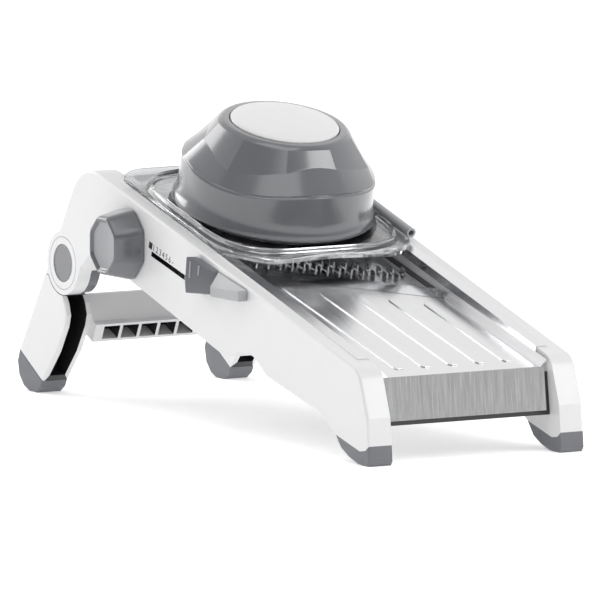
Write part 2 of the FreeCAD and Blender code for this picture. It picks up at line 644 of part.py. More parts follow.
def thickness_slider():
    face = -dim.half_width - dim.grip_gap
    neck = Piece("slider_neck", DECK)
    neck.add("X", face, -dim.cam_outer, rectangle(dim.neck_front, dim.neck_rear,
                                                  dim.slot_level - dim.neck_half,
                                                  dim.slot_level + dim.neck_half))
    grip = Piece("thickness_grip")
    outer, spare = face - dim.grip_proud, 4.0
    grip.add("Z", dim.grip_low_z, dim.grip_rear_top_z, polygon(
        (face, dim.grip_rear_y), (outer + 1.5, dim.grip_rear_y), (outer, dim.grip_rear_y - 1.5),
        (outer, dim.grip_rear_y - dim.wedge_flat), (face - dim.wedge_front, dim.grip_front_y),
        (face, dim.grip_front_y)))
    grip.cut("X", outer, face, polygon(
        (dim.grip_rear_y, dim.grip_rear_top_z), (dim.grip_front_y, dim.grip_front_top_z),
        (dim.grip_front_y, dim.grip_rear_top_z + spare), (dim.grip_rear_y, dim.grip_rear_top_z + spare)))
    block = Piece("slider_lock_block")
    near, far = dim.grip_front_y - 0.1, dim.block_front_y
    block.add("X", face - dim.block_proud, face, polygon(
        (near, dim.grip_low_z), (near, dim.grip_front_top_z - 0.6), (far, dim.block_front_top_z),
        (far, dim.grip_low_z + 0.9)))
    block.fillet(0.8, in_plane("X", float(face - dim.block_proud)))


# ------------------------------------------------------------------ julienne comb and knob
def tooth_outline(clearance, row, station):
    """Plan of one tooth in the blade's frame: a thin bar that runs straight down the deck."""
    lean = math.radians(BLADE_ANGLE)
    along = Vector(-math.sin(lean), math.cos(lean), 0)
    across = Vector(along.y, -along.x, 0)
    centre = Vector(float(station), float(row), 0)
    length = float(dim.tooth_length) / 2.0 + clearance
    width = float(dim.tooth_thick) / 2.0 + clearance
    corners = [centre + across * (i * width) + along * (j * length)
               for i, j in ((-1, -1), (1, -1), (1, 1), (-1, 1))]
    return polygon(*[(c.x, c.y) for c in corners])


def tooth_rows():
    first = -dim.tooth_pitch * (dim.teeth_per_row - 1) / 2.0
    return (("fine_julienne_teeth", dim.fine_row, first - dim.tooth_pitch / 4.0),
            ("coarse_julienne_teeth", dim.coarse_row, first + dim.tooth_pitch / 4.0))


def comb():
    carrier = Piece("comb_carrier", DECK)
    half = dim.comb_half
    near = dim.fine_row - 5.0
    far = near + dim.comb_width
    carrier.add("Z", dim.comb_bottom, dim.comb_top, polygon(
        (-half, edge_at(-half, near)), (half, edge_at(half, near)),
        (half, edge_at(half, far)), (-half, edge_at(-half, far))))
    for side in SIDES.values():
        start = edge_at(side * dim.comb_arm, near + 4.0)
        carrier.add("Z", dim.comb_bottom, dim.comb_arm_top, rectangle(
            *mirrored(side, dim.comb_arm, dim.comb_arm + dim.comb_arm_width), start, dim.comb_arm_end))
    for label, row, first in tooth_rows():
        teeth = Piece(label, EDGE)
        teeth.add("Z", dim.comb_top, dim.tooth_top, tooth_outline(0.0, row, first))
        teeth.repeat("X", dim.tooth_pitch, dim.teeth_per_row)


def tooth_slits(plate, low, high):
    """Slits in the runway plate, cut in the deck's frame, one for each tooth."""
    lean = math.radians(BLADE_ANGLE)
    half_length = dim.tooth_length / 2.0 + dim.tooth_clearance
    half_width = dim.tooth_thick / 2.0 + dim.tooth_clearance
    shapes = []
    for _, row, first in tooth_rows():
        for index in range(int(dim.teeth_per_row)):
            station = first + dim.tooth_pitch * index
            x = station * math.cos(lean) + row * math.sin(lean)
            y = dim.blade_line - station * math.sin(lean) + row * math.cos(lean)
            shapes.append(rectangle(x - half_width, x + half_width, y - half_length, y + half_length))
    plate.cut("Z", low, high, *shapes)


def knob():
    handle = Piece("adjusting_knob", KNOB)
    radius = float(dim.knob_radius)
    corners = [(radius * math.cos(math.radians(a)), radius * math.sin(math.radians(a)))
               for a in range(15, 375, 30)]
    handle.add("Z", dim.knob_gap, dim.knob_gap + dim.knob_depth, polygon(*corners))
    handle.tip.TaperAngle = -float(dim.knob_taper)
    doc.recompute()
    top = float(dim.knob_gap + dim.knob_depth)
    handle.fillet(2.2, in_plane("Z", top))
    handle.cut("Z", dim.knob_gap, dim.knob_gap + 12.0, circle(0.0, 0.0, dim.shaft_radius))
    face = Piece("knob_face", KNOB)
    face.add("Z", dim.knob_gap + dim.knob_depth, dim.knob_gap + dim.knob_depth + 0.5,
             circle(0.0, 0.0, 13.2))
    shaft = Piece("knob_shaft")
    shaft.add("X", -dim.half_width - dim.knob_gap - 12.0, dim.shaft_right,
              circle(dim.knob_y, dim.knob_z, dim.shaft_radius))
    snails()


def snails():
    """Spiral cams on the shaft whose reach grows evenly with the turn, one over each comb arm."""
    cams = doc.addObject("Part::Feature", "snail_cams")
    cams.Label = "snail_cams"
    small, large = float(dim.cam_small), float(dim.cam_large)
    steps = 18
    quarter = math.pi / 2.0
    climb = (large - small) / quarter
    toward_arm = math.radians(DECK_ANGLE - 90.0)

    def support(angle, reach, offset):
        """Point of the outline whose tangent lies at a given reach in the given direction."""
        return Vector(0, reach * math.cos(angle) - offset * math.sin(angle),
                      reach * math.sin(angle) + offset * math.cos(angle))

    spiral = []
    for step in range(steps + 1):
        turn = quarter * step / steps
        spiral.append(support(toward_arm + turn, small + climb * turn, climb))
    round_start = support(toward_arm, small, 0.0)
    round_middle = support(toward_arm - quarter, small, 0.0)
    round_end = support(toward_arm - 2.0 * quarter, small, 0.0)
    curve = Part.BSplineCurve()
    curve.interpolate(spiral)
    edges = [curve.toShape(), Part.LineSegment(spiral[-1], round_end).toShape(),
             Part.Arc(round_end, round_middle, round_start).toShape(),
             Part.LineSegment(round_start, spiral[0]).toShape()]
    outline = Part.Face(Part.Wire(edges))
    bore = Part.makeCylinder(float(dim.shaft_radius), 40, Vector(-20, 0, 0), Vector(1, 0, 0))
    plates = []
    for side in SIDES.values():
        near = float(dim.comb_arm) - 1.0
        low, _ = mirrored(side, near, near + float(dim.snail_width))
        plate = outline.extrude(Vector(float(dim.snail_width), 0, 0)).cut(bore)
        plate.translate(Vector(float(low), 0, 0))
        plates.append(plate)
    cams.Shape = Part.makeCompound(plates)
    cams.Placement = BASE.multiply(frame_at(0, dim.knob_y, dim.knob_z))
    loose_features.append(cams)


loose_features = []


# ------------------------------------------------------------------ carriage and dome
def carriage():
    half, front, rear = dim.carriage_half, dim.carriage_front, dim.carriage_rear
    nose, cheek = dim.carriage_nose, front + dim.carriage_cheek
    outline = [(-nose, front), (nose, front), (half, cheek), (half, rear), (-half, rear), (-half, cheek)]
    plate = Piece("carriage_plate", TRACK)
    plate.add("Z", dim.plate_low, dim.plate_high, polygon(*outline))
    plate.fillet(dim.carriage_corner, along_z_at(outline[3], outline[4]))
    plate.fillet(dim.carriage_round, along_z_at(outline[0], outline[1], outline[2], outline[5]))
    plate.cut("Z", dim.plate_low, dim.plate_high,
              circle(0.0, dim.dome_station, dim.cup_radius))
    ridge = dim.ridge_half
    inner = ridge - dim.ridge_width
    reach = 24.0
    front_edge, rear_edge = dim.dome_station - ridge - 3.0, dim.dome_station + ridge + 3.0

    def ring(half_x, grow):
        lean = reach - grow * 0.4
        return polygon((half_x, front_edge + reach), (half_x, rear_edge - reach),
                       (half_x - lean, rear_edge - grow), (lean - half_x, rear_edge - grow),
                       (-half_x, rear_edge - reach), (-half_x, front_edge + reach),
                       (lean - half_x, front_edge + grow), (half_x - lean, front_edge + grow))
    rim = Piece("carriage_rim", TRACK)
    rim.add("Z", dim.plate_high, dim.ridge_height, ring(ridge, 0.0), ring(inner, float(dim.ridge_width)))
    lip = Piece("carriage_lip", TRACK)
    lip.add("Z", dim.plate_high, dim.plate_high + 2.6, rectangle(-43.0, 43.0, front + 0.2, front + 3.6))
    cup = Piece("food_cup", DOME)
    cup.turn(rectangle(dim.cup_radius + 0.3, dim.cup_radius + 0.3 + dim.cup_wall,
                       dim.plate_high, dim.cup_top))
    centre = (dim.tube_x, dim.plate_high + dim.tube_radius)
    tube = Piece("right_runner_tube", TRACK)
    tube.add("Y", dim.tube_front, dim.tube_rear, circle(*centre, dim.tube_radius),
             circle(*centre, dim.tube_bore))


# radius and height of the dome's outside: seat, rolled rim, skirt, leaning band and top ring
DOME_PROFILE = [(58.9, 3.3), (59.3, 7.5), (60.7, 8.4), (60.7, 11.8), (59.2, 13.6), (58.3, 17.3),
                (57.8, 23.5), (57.4, 32.6), (37.4, 59.6)]


def dome():
    wall = float(dim.dome_wall)
    shell = Piece("dome_shell", DOME)
    inside = [(r - wall, height) for r, height in DOME_PROFILE[:-1]]
    inside.append((DOME_PROFILE[-1][0] - 1.8, DOME_PROFILE[-1][1] - wall - 0.2))
    top = DOME_PROFILE[-1][1]
    shell.turn(polygon(*DOME_PROFILE, (0.0, top), (0.0, top - wall - 0.2), *reversed(inside)))
    cap = Piece("dome_cap", DOME)
    cap.turn(polygon((0.0, top), (32.6, top), (32.4, top + 0.8), (28.0, top + 1.7), (18.0, top + 2.4),
                     (0.0, dim.cap_top)))
    guide = Piece("pusher_guide", DOME)
    guide.turn(rectangle(dim.guide_inner, dim.guide_outer, dim.guide_low, top - wall - 0.2))


def pusher():
    disc = Piece("pusher_disc", DOME)
    disc.turn(rectangle(0.0, dim.disc_radius, dim.disc_low, dim.disc_low + dim.disc_thick))
    stem = Piece("pusher_stem", DOME)
    stem.turn(rectangle(0.0, dim.stem_radius, dim.disc_low + dim.disc_thick, dim.stem_top))
    spikes = Piece("pusher_spikes", DOME)
    for ring, count in ((1, 6), (2, 12)):
        for index in range(count):
            angle = 2.0 * math.pi * index / count
            place = (dim.spike_ring * ring * math.cos(angle), dim.spike_ring * ring * math.sin(angle))
            spikes.add("Z", dim.spike_low, dim.disc_low, circle(*place, dim.spike_radius))
    spring = doc.addObject("Part::Feature", "pusher_spring")
    spring.Label = "pusher_spring"
    low = float(dim.disc_low + dim.disc_thick) + float(dim.spring_wire)
    height = float(dim.guide_low) - low - float(dim.spring_wire)
    radius = float(dim.spring_inner) + float(dim.spring_wire)
    helix = Part.makeHelix(height / 4.0, height, radius)
    section = Part.Wire(Part.makeCircle(float(dim.spring_wire) * 0.8, Vector(radius, 0, 0),
                                        Vector(0, 1, 0)))
    spring.Shape = Part.Wire(helix.Edges).makePipeShell([section], True, True)
    spring.Placement = DOME.multiply(frame_at(0, 0, low))
    loose_features.append(spring)


# ------------------------------------------------------------------ build, check and write
def build():
    for name, side in SIDES.items():
        rail(name, side)
        front_foot(name, side)
        stand_leg(name, side)
        release_button(name, side)
    hinge_pins()
    stand_crossbar()
    landing_plate()
    front_end_frame()
    side_ledges()
    blade_parts()
    guide_strips()
    rear_panel()
    tie_rods()
    plate, low, high = runway()
    tooth_slits(plate, low, high)
    cam_bars()
    thickness_slider()
    comb()
    knob()
    carriage()
    dome()
    pusher()


def write_parts():
    for piece in pieces:
        piece.body.Placement = piece.frame
    doc.recompute()
    for item in doc.Objects:
        if "Invalid" in item.State or "Error" in item.State:
            raise RuntimeError(f"{item.Label} failed: {item.State}")
    os.makedirs("parts", exist_ok=True)
    for item in [piece.body for piece in pieces] + loose_features:
        if item.Shape.isNull() or not item.Shape.isValid():
            raise RuntimeError(f"{item.Label} has no valid shape")
        item.Shape.exportStep(f"parts/{item.Label}.step")


build()
write_parts()
box = FreeCAD.BoundBox()
for built in [piece.body for piece in pieces] + loose_features:
    box.add(built.Shape.BoundBox)
print(len(pieces) + len(loose_features), "pieces", box)
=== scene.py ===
"""Looks of the mandoline slicer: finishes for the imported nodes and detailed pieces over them."""
import json
import math

import bmesh
import bpy
import numpy as np
from mathutils import Matrix, Vector


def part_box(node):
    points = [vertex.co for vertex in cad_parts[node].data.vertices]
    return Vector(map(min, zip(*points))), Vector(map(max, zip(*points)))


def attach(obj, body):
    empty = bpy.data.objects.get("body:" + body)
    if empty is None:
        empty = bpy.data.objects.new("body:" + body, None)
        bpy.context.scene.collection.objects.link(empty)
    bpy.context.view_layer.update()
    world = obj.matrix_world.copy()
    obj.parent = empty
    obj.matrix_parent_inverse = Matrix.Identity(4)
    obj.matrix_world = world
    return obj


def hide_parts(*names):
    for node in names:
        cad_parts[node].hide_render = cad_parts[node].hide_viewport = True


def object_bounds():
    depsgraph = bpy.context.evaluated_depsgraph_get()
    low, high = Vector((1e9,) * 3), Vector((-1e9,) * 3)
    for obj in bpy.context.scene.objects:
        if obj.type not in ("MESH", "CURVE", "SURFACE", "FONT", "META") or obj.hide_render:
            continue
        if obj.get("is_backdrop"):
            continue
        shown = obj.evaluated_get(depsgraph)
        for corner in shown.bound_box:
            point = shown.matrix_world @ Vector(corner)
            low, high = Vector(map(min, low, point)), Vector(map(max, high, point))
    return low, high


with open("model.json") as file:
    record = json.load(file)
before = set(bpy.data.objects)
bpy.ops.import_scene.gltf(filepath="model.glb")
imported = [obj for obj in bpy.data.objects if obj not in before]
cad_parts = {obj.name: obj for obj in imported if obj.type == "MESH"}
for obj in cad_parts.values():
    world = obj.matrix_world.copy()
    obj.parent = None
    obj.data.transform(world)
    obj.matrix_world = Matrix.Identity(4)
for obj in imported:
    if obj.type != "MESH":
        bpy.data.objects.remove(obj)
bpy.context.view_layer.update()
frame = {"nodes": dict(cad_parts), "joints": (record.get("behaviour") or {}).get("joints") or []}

MM = 0.001
UP = Vector((0, 0, 1))
ACROSS = Vector((1, 0, 0))
joints = {joint["name"]: joint for joint in frame["joints"]}


# ------------------------------------------------------------------ places on the slicer
def corners(node):
    mesh = frame["nodes"][node].data
    flat = np.empty(len(mesh.vertices) * 3)
    mesh.vertices.foreach_get("co", flat)
    return flat.reshape(-1, 3)


def reach(node, axis):
    """Lowest and highest place of a node along a direction, in metres."""
    along = corners(node) @ np.array(axis)
    return along.min(), along.max()


def middle(node, axis):
    return sum(reach(node, axis)) / 2


class Place:
    """Axes of one part of the slicer; at() takes millimetres along them."""

    def __init__(self, origin, x, y, z):
        self.origin, self.x, self.y, self.z = Vector(origin), Vector(x), Vector(y), Vector(z)

    def at(self, x, y, z):
        return self.origin + (self.x * x + self.y * y + self.z * z) * MM

    def span(self, node, axis):
        """Reach of a node along one of these axes, in millimetres from the origin."""
        start = self.origin.dot(axis)
        return [(edge - start) / MM for edge in reach(node, axis)]


up_rails = -Vector(joints["carriage_slide"]["axis"])
off_rails = Vector(joints["dome_lift"]["axis"])
up_deck = Vector(joints["thickness_slide"]["axis"])
off_deck = -Vector(joints["comb_drop"]["axis"])
centre_x = middle("dome_cap", ACROSS)


def blend_of(x, first, first_level, second, second_level):
    """The point at X whose distances along two square directions are given."""
    return Vector((x, 0, 0)) + first * first_level + second * second_level


# about the dome's axis, from its open lower edge
DOME = Place(blend_of(centre_x, up_rails, middle("dome_cap", up_rails),
                      off_rails, reach("dome_shell", off_rails)[0]),
             ACROSS, up_rails, off_rails)
# about the dome's axis, from the carriage plate's lower face
TRACK = Place(blend_of(centre_x, up_rails, middle("dome_cap", up_rails),
                       off_rails, reach("carriage_plate", off_rails)[0]),
              ACROSS, up_rails, off_rails)
# along the deck, from the foot of the deck's flat
DECK = Place(blend_of(centre_x, up_deck, reach("left_deck_ledge", up_deck)[0] - 0.012,
                      off_deck, reach("left_deck_ledge", off_deck)[1] + 0.0008),
             ACROSS, up_deck, off_deck)
# out of the left side along the knob's shaft
knob_pivot = Vector(joints["knob_turn"]["pos_m"])
KNOB = Place((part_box("adjusting_knob")[1].x, knob_pivot.y, knob_pivot.z),
             (0, -1, 0), (0, 0, 1), (-1, 0, 0))


# out of the left rail's face: X outward, Y toward the front, Z up from the worktop
grip_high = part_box("thickness_grip")[1]
SIDE = Place((grip_high.x, grip_high.y - 0.5 * MM, 0), (-1, 0, 0), (0, -1, 0), (0, 0, 1))


# ------------------------------------------------------------------ finishes
SHEET_WAVE = 0.00004    # slow waviness of the steel, in metres


def principled(name):
    material = bpy.data.materials.new(name)
    material.use_nodes = True
    return material, material.node_tree.nodes["Principled BSDF"]


def noise(material, scale, detail=3.0, roughness=0.5, stretch=(1, 1, 1)):
    """Noise in the slicer's own space, so that it runs on from piece to piece."""
    nodes, links = material.node_tree.nodes, material.node_tree.links
    where = nodes.new("ShaderNodeTexCoord")
    mapping = nodes.new("ShaderNodeMapping")
    mapping.inputs["Scale"].default_value = stretch
    texture = nodes.new("ShaderNodeTexNoise")
    texture.inputs["Scale"].default_value = scale
    texture.inputs["Detail"].default_value = detail
    texture.inputs["Roughness"].default_value = roughness
    links.new(where.outputs["Object"], mapping.inputs["Vector"])
    links.new(mapping.outputs["Vector"], texture.inputs["Vector"])
    return texture.outputs["Fac"]


def spread(material, source, low, high):
    """Turn noise into a number between two ends."""
    node = material.node_tree.nodes.new("ShaderNodeMapRange")
    node.inputs["From Min"].default_value = 0.3
    node.inputs["From Max"].default_value = 0.7
    node.inputs["To Min"].default_value = low
    node.inputs["To Max"].default_value = high
    material.node_tree.links.new(source, node.inputs["Value"])
    return node.outputs["Result"]


def shade(material, source, dark, light):
    """Turn noise into a colour between two."""
    node = material.node_tree.nodes.new("ShaderNodeMix")
    node.data_type = "RGBA"
    node.inputs["A"].default_value = (*dark, 1)
    node.inputs["B"].default_value = (*light, 1)
    material.node_tree.links.new(spread(material, source, 0.0, 1.0), node.inputs["Factor"])
    return node.outputs["Result"]


def bump(material, source, height):
    node = material.node_tree.nodes.new("ShaderNodeBump")
    node.inputs["Distance"].default_value = height
    material.node_tree.links.new(source, node.inputs["Height"])
    return node.outputs["Normal"]


def moulded(name, colour, roughness, grain=0.00002, mottle=0.06, coat=0.0):
    """Injection-moulded plastic or rubber: slight flow mottling, uneven gloss and a fine grain."""
    material, shader = principled(name)
    links = material.node_tree.links
    dark = [c * (1 - mottle) for c in colour]
    light = [min(1.0, c * (1 + mottle)) for c in colour]
    flow = noise(material, 38.0, 4.0, 0.6)
    links.new(shade(material, flow, dark, light), shader.inputs["Base Color"])
    gloss = noise(material, 160.0, 5.0, 0.65)
    links.new(spread(material, gloss, roughness * 0.88, roughness * 1.12), shader.inputs["Roughness"])
    links.new(bump(material, noise(material, 2600.0, 2.0), grain), shader.inputs["Normal"])
    shader.inputs["Coat Weight"].default_value = coat
    shader.inputs["Coat Roughness"].default_value = 0.12
    return material


def clear(name, tint, roughness):
    """Polished clear plastic with faint flow lines."""
    material, shader = principled(name)
    links = material.node_tree.links
    dark = [c * 0.94 for c in tint]
    flow = noise(material, 60.0, 4.0, 0.6)
    links.new(shade(material, flow, dark, tint), shader.inputs["Base Color"])
    links.new(spread(material, noise(material, 240.0), roughness * 0.6, roughness * 1.4),
              shader.inputs["Roughness"])
    links.new(bump(material, noise(material, 90.0, 2.0), 0.00012), shader.inputs["Normal"])
    shader.inputs["Transmission Weight"].default_value = 0.92
    shader.inputs["IOR"].default_value = 1.49
    return material


def metal(name, colour, roughness, brush=(1, 1, 1), depth=0.000004, contrast=0.1):
    """Steel: fine brushing or polish lines over a slow waviness of the sheet."""
    material, shader = principled(name)
    links = material.node_tree.links
    dark = [c * (1 - contrast) for c in colour]
    lines = noise(material, 900.0, 3.0, 0.6, brush)
    links.new(shade(material, lines, dark, colour), shader.inputs["Base Color"])
    links.new(spread(material, lines, roughness * 0.8, roughness * 1.25), shader.inputs["Roughness"])
    shader.inputs["Metallic"].default_value = 1.0
    fine = bump(material, lines, depth)
    slow = material.node_tree.nodes.new("ShaderNodeBump")
    slow.inputs["Distance"].default_value = SHEET_WAVE
    links.new(noise(material, 22.0, 1.0), slow.inputs["Height"])
    links.new(fine, slow.inputs["Normal"])
    links.new(slow.outputs["Normal"], shader.inputs["Normal"])
    return material


FINISHES = {
    "white_plastic": moulded("white_plastic", (0.76, 0.76, 0.765), 0.36, mottle=0.012, coat=0.15),
    "grey_rubber": moulded("grey_rubber", (0.17, 0.175, 0.19), 0.55, grain=0.00005, mottle=0.08),
    "grey_plastic": moulded("grey_plastic", (0.125, 0.128, 0.14), 0.2, mottle=0.03, coat=0.6),
    "dark_grey_plastic": moulded("dark_grey_plastic", (0.13, 0.135, 0.15), 0.38, coat=0.2),
    "light_grey_plastic": moulded("light_grey_plastic", (0.36, 0.365, 0.38), 0.36, mottle=0.04, coat=0.2),
    "dome_grey": moulded("dome_grey", (0.125, 0.128, 0.14), 0.2, mottle=0.03, coat=1.0),
    "mid_grey_plastic": moulded("mid_grey_plastic", (0.28, 0.285, 0.30), 0.32, mottle=0.04, coat=0.3),
    "black_plastic": moulded("black_plastic", (0.018, 0.018, 0.02), 0.36, mottle=0.15, coat=0.2),
    "clear_plastic": clear("clear_plastic", (0.93, 0.94, 0.95), 0.06),
    "smoke_plastic": clear("smoke_plastic", (0.10, 0.10, 0.11), 0.09),
    "polished_steel": metal("polished_steel", (0.78, 0.78, 0.79), 0.2, (1, 0.04, 0.04), 0.0000002, 0.02),
    "blade_steel": metal("blade_steel", (0.78, 0.79, 0.81), 0.14, brush=(0.05, 1, 1)),
    "plated_steel": metal("plated_steel", (0.72, 0.72, 0.74), 0.12),
}
SLOT_NODES = {
    "white_plastic": ["left_rail_shell", "right_rail_shell", "left_rail_cover", "right_rail_cover",
                      "rear_panel", "left_stand_leg", "right_stand_leg", "stand_crossbar", "dome_cap"],
    "grey_rubber": ["left_front_foot", "right_front_foot", "left_rear_foot", "right_rear_foot"],
    "grey_plastic": ["adjusting_knob", "hinge_caps", "left_release_button", "right_release_button",
                     "dome_shell"],
    "dark_grey_plastic": ["thickness_grip", "slider_neck"],
    "light_grey_plastic": ["knob_face", "slider_lock_block", "right_runner_tube"],
    "black_plastic": ["front_end_frame", "left_deck_ledge", "right_deck_ledge", "blade_bed",
                      "comb_carrier", "runway_frame", "left_cam_bar", "right_cam_bar", "snail_cams"],
    "clear_plastic": ["carriage_plate", "carriage_rim", "carriage_lip", "food_cup"],
    "smoke_plastic": ["pusher_disc", "pusher_stem", "pusher_guide"],
    "polished_steel": ["landing_plate", "runway_plate", "left_guide_strip", "right_guide_strip"],
    "blade_steel": ["slicing_blade", "fine_julienne_teeth", "coarse_julienne_teeth"],
    "plated_steel": ["blade_screws", "hinge_pins", "tie_rods", "knob_shaft", "cam_link_rod",
                     "follower_pins", "pusher_spikes", "pusher_spring", "left_latch_washer",
                     "right_latch_washer"],
}


def finish_nodes():
    for slot_name, nodes in SLOT_NODES.items():
        for node in nodes:
            thing = frame["nodes"][node]
            thing.data.materials.clear()
            thing.data.materials.append(FINISHES[slot_name])


def paint_faces(thing, slot_name, chosen):
    """Give the faces that chosen(centre, normal) accepts another finish; lengths in metres."""
    mesh = thing.data
    mesh.materials.append(FINISHES[slot_name])
    for face in mesh.polygons:
        if chosen(face.center, face.normal):
            face.material_index = len(mesh.materials) - 1


LEG_RIM = 2.9 * MM          # bare white edge beside a leg's channel
EAR_RADIUS = 19.2 * MM
BAR_CELL_LEVEL = 15.0 * MM  # how far up the crossbar its open cells reach
BAR_FRONT_WALL = 6.0 * MM
BAR_END_WALL = 1.0 * MM


def paint_leg(leg, hinge):
    """Painted shade: black inside a leg's channel, where shade falls, and a grey ear at its hinge."""
    low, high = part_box(leg)

    def in_ear(centre, normal):
        return (centre - hinge).yz.length < EAR_RADIUS

    def in_channel_shade(centre, normal):
        rim = LEG_RIM * 0.9 if abs(normal.x) > 0.9 else LEG_RIM
        between = low.x + rim < centre.x < high.x - rim
        return between and normal.y < 0.3 and not in_ear(centre, normal)
    # painted shade: the black inside the channel stands for the shade in its recess
    paint_faces(frame["nodes"][leg], "black_plastic", in_channel_shade)
    paint_faces(frame["nodes"][leg], "grey_plastic", in_ear)


def paint_stand():
    """Painted shade: black inside the legs' channels and in the crossbar's open cells."""
    hinge = Vector(joints["stand_fold"]["pos_m"])
    for side in ("left", "right"):
        paint_leg(f"{side}_stand_leg", hinge)
    low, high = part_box("stand_crossbar")

    def in_cell_shade(centre, normal):
        if not low.x + BAR_END_WALL < centre.x < high.x - BAR_END_WALL:
            return False
        behind_wall = centre.y > low.y + BAR_FRONT_WALL and centre.z < low.z + BAR_CELL_LEVEL
        return abs(normal.x) > 0.9 or (behind_wall and normal.y < -0.2 and normal.z < -0.2)
    # painted shade: black on the cells' walls and on faces under the front wall, where shade falls
    paint_faces(frame["nodes"]["stand_crossbar"], "black_plastic", in_cell_shade)


def soften(thing, width, segments=2, angle=30):
    """Round the edges of a node or piece by a fraction of a millimetre."""
    weld = thing.modifiers.new("weld", "WELD")
    weld.merge_threshold = 0.000002
    round_over = thing.modifiers.new("round", "BEVEL")
    round_over.width = width * MM
    round_over.segments = segments
    round_over.limit_method = "ANGLE"
    round_over.angle_limit = math.radians(angle)


# ------------------------------------------------------------------ new pieces
def piece(name, points, faces, body, slot_name, stands_for=(), sharp=28):
    mesh = bpy.data.meshes.new(name)
    mesh.from_pydata([tuple(p) for p in points], [], faces)
    mesh.update()
    shape = bmesh.new()
    shape.from_mesh(mesh)
    bmesh.ops.recalc_face_normals(shape, faces=shape.faces)
    shape.to_mesh(mesh)
    shape.free()
    mesh.shade_smooth()
    mesh.set_sharp_from_angle(angle=math.radians(sharp))
    mesh.materials.append(FINISHES[slot_name])
    thing = bpy.data.objects.new(name, mesh)
    bpy.context.scene.collection.objects.link(thing)
    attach(thing, body)
    if stands_for:
        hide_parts(*stands_for)
    return thing


def lofted(rings, close_start=False, close_end=False):
    """Points and faces of a skin over rings of equal length."""
    count = len(rings[0])
    points = [p for ring in rings for p in ring]
    faces = []
    for i in range(len(rings) - 1):
        for j in range(count):
            k = (j + 1) % count
            faces.append((i * count + j, i * count + k, (i + 1) * count + k, (i + 1) * count + j))
    if close_start:
        faces.append(tuple(range(count)))
    if close_end:
        faces.append(tuple(range((len(rings) - 1) * count, len(rings) * count)))
    return points, faces


def rounded_outline(corners_and_radii, steps=8, gap=3.0):
    """Closed outline with its corners rounded, as evenly spread points."""
    count = len(corners_and_radii)
    outline = []
    for i, (x, y, radius) in enumerate(corners_and_radii):
        here = Vector((x, y))
        before = (Vector(corners_and_radii[i - 1][:2]) - here).normalized() * radius
        after = (Vector(corners_and_radii[(i + 1) % count][:2]) - here).normalized() * radius
        for k in range(steps + 1):
            share = k / steps
            outline.append(here + before * (1 - share) ** 2 + after * share ** 2)
    spread_out = []
    for start, end in zip(outline, outline[1:] + outline[:1]):
        parts = max(1, round((end - start).length / gap))
        spread_out += [start.lerp(end, k / parts) for k in range(parts)]
    return spread_out


# ------------------------------------------------------------------ dome
FACETS = 9
COLUMNS_PER_FACET = 12
WAVES = 3
FACET_TURN = math.radians(-116.0)   # where the first facet edge lies round the axis
WAVE_TURN = math.radians(-91.0)     # where the wavy edges are highest
FACET_FOOT = (56.4, 32.0)           # radius and height of the facets' corners
FACET_HEAD = (39.9, 53.9)


def dome_shell():
    """Domed grip: flat facets over a wavy edge, a leaning band, a skirt and a rolled rim."""
    columns = FACETS * COLUMNS_PER_FACET
    facet = 2 * math.pi / FACETS
    turns = [FACET_TURN + 2 * math.pi * i / columns for i in range(columns)]

    def ring(radii, heights):
        return [DOME.at(r * math.cos(t), r * math.sin(t), h) for t, r, h in zip(turns, radii, heights)]

    def swell(t):
        return math.cos(WAVES * (t - WAVE_TURN))

    def on_facet(t, height, flatness):
        """Radius of the facets at a height; flatness 1 is a plane and 0 a cone."""
        (foot, low), (head, high) = FACET_FOOT, FACET_HEAD
        distance = foot + (head - foot) * (height - low) / (high - low)
        flat = math.cos(facet / 2) / math.cos((t - FACET_TURN) % facet - facet / 2)
        return distance * (1 - flatness * (1 - flat))

    rim_rows = [(58.0, 2.8), (59.2, 2.6), (60.5, 4.0), (60.5, 5.6), (59.3, 8.2), (58.4, 11.0),
                (58.1, 14.5), (57.9, 20.0)]
    seam_rows = [(57.9, -0.7), (56.9, 0.1), (57.3, 1.2)]
    ring_rows = [(37.3, 55.7), (36.4, 56.0), (33.2, 55.9), (32.6, 55.0)]
    inner_rows = [(31.8, 53.6), (35.0, 52.6), (51.4, 34.0), (55.0, 24.0), (56.0, 10.0), (56.6, 3.0)]
    seam = [29.5 + 2.2 * swell(t) for t in turns]
    crest = [41.3 + 3.6 * swell(t) for t in turns]
    top = [FACET_HEAD[1]] * columns
    rings = [ring([r] * columns, [h] * columns) for r, h in rim_rows]
    rings += [ring([r] * columns, [level + h for level in seam]) for r, h in seam_rows]
    crease = len(rings)
    rings.append(ring([on_facet(t, h, 0.8) for t, h in zip(turns, crest)], crest))
    rings.append(ring([on_facet(t, h, 0.25) for t, h in zip(turns, top)], top))
    rings += [ring([r] * columns, [h] * columns) for r, h in ring_rows + inner_rows]
    rings.append(rings[0])
    points, faces = lofted(rings)
    shell = piece("dome_grip", points, faces, "dome", "grey_plastic", ["dome_shell"], sharp=32)
    mesh = shell.data
    mesh.materials[0] = FINISHES["dome_grey"]
    weights = mesh.attributes.new("bevel_weight_edge", "FLOAT", "EDGE")
    folded = {crease - 3, crease - 2, crease, crease + 1}
    for edge in mesh.edges:
        (row, column), (row_b, column_b) = sorted(divmod(v, columns) for v in edge.vertices)
        along = row == row_b and row in folded
        between = row == crease and row_b == crease + 1 and column % COLUMNS_PER_FACET == 0
        if along or between:
            weights.data[edge.index].value = 1.0
    round_over = shell.modifiers.new("round", "BEVEL")
    round_over.width = 0.45 * MM
    round_over.segments = 2
    round_over.limit_method = "WEIGHT"
    round_over.harden_normals = True


